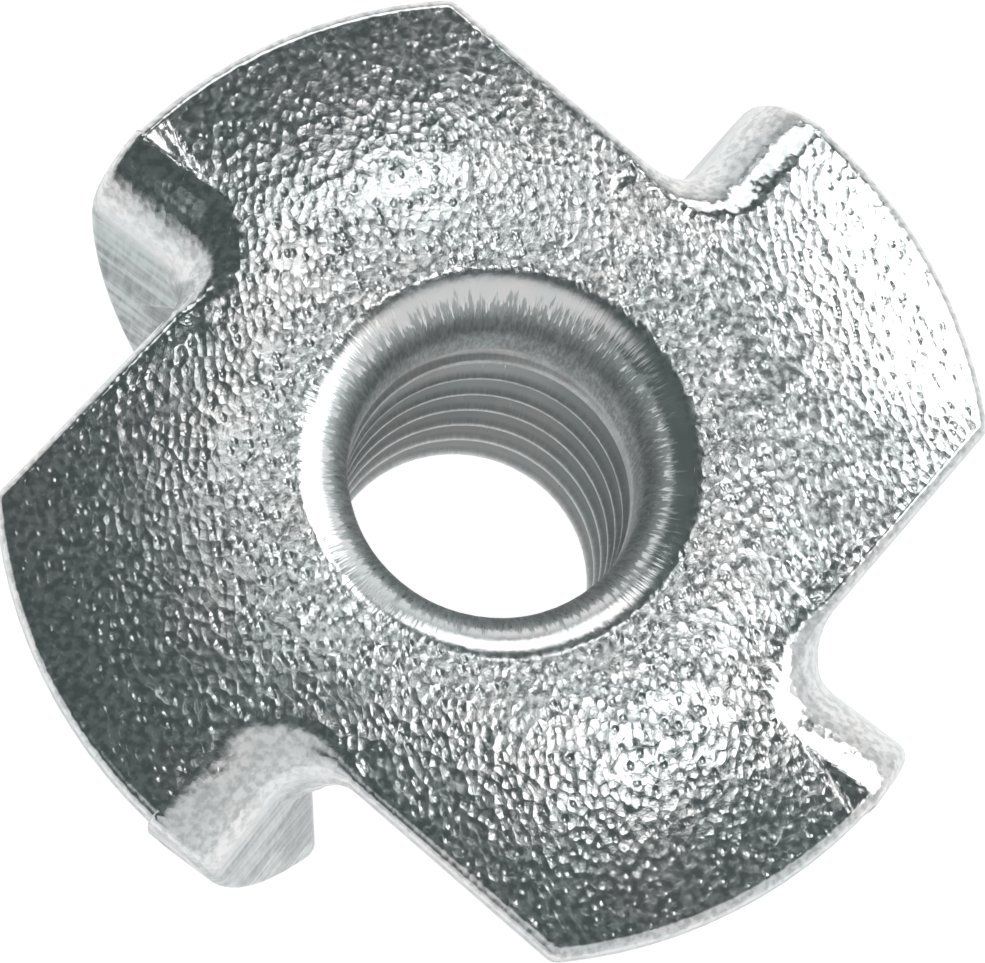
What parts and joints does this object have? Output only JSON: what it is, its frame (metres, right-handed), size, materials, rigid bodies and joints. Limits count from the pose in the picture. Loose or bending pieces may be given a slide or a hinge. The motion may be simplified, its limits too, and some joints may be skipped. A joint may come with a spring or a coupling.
{
  "type": "tee nut",
  "caption": "Pronged tee nut stamped from sheet steel: a notched round flange with folded-down prongs and a drawn, threaded barrel.",
  "frame": {"origin": "centre of the barrel's end face, which is the bottom centre of the bounding box", "axes": "+Z along the thread axis from the barrel's end face to the flange face; the sharp corners of the four lobes lie close to +X, +Y, -X and -Y; +Y is near the top of the picture"},
  "size_m": [0.0224, 0.0224, 0.011],
  "materials": {
    "zinc_plated_steel": "bright blue-white zinc plate over pressed sheet steel, finely pebbled on the flange, smooth on the cut edges, the prongs and inside the barrel"
  },
  "bodies": {
    "root": {"tee_nut": "zinc_plated_steel"}
  },
  "joints": []
}
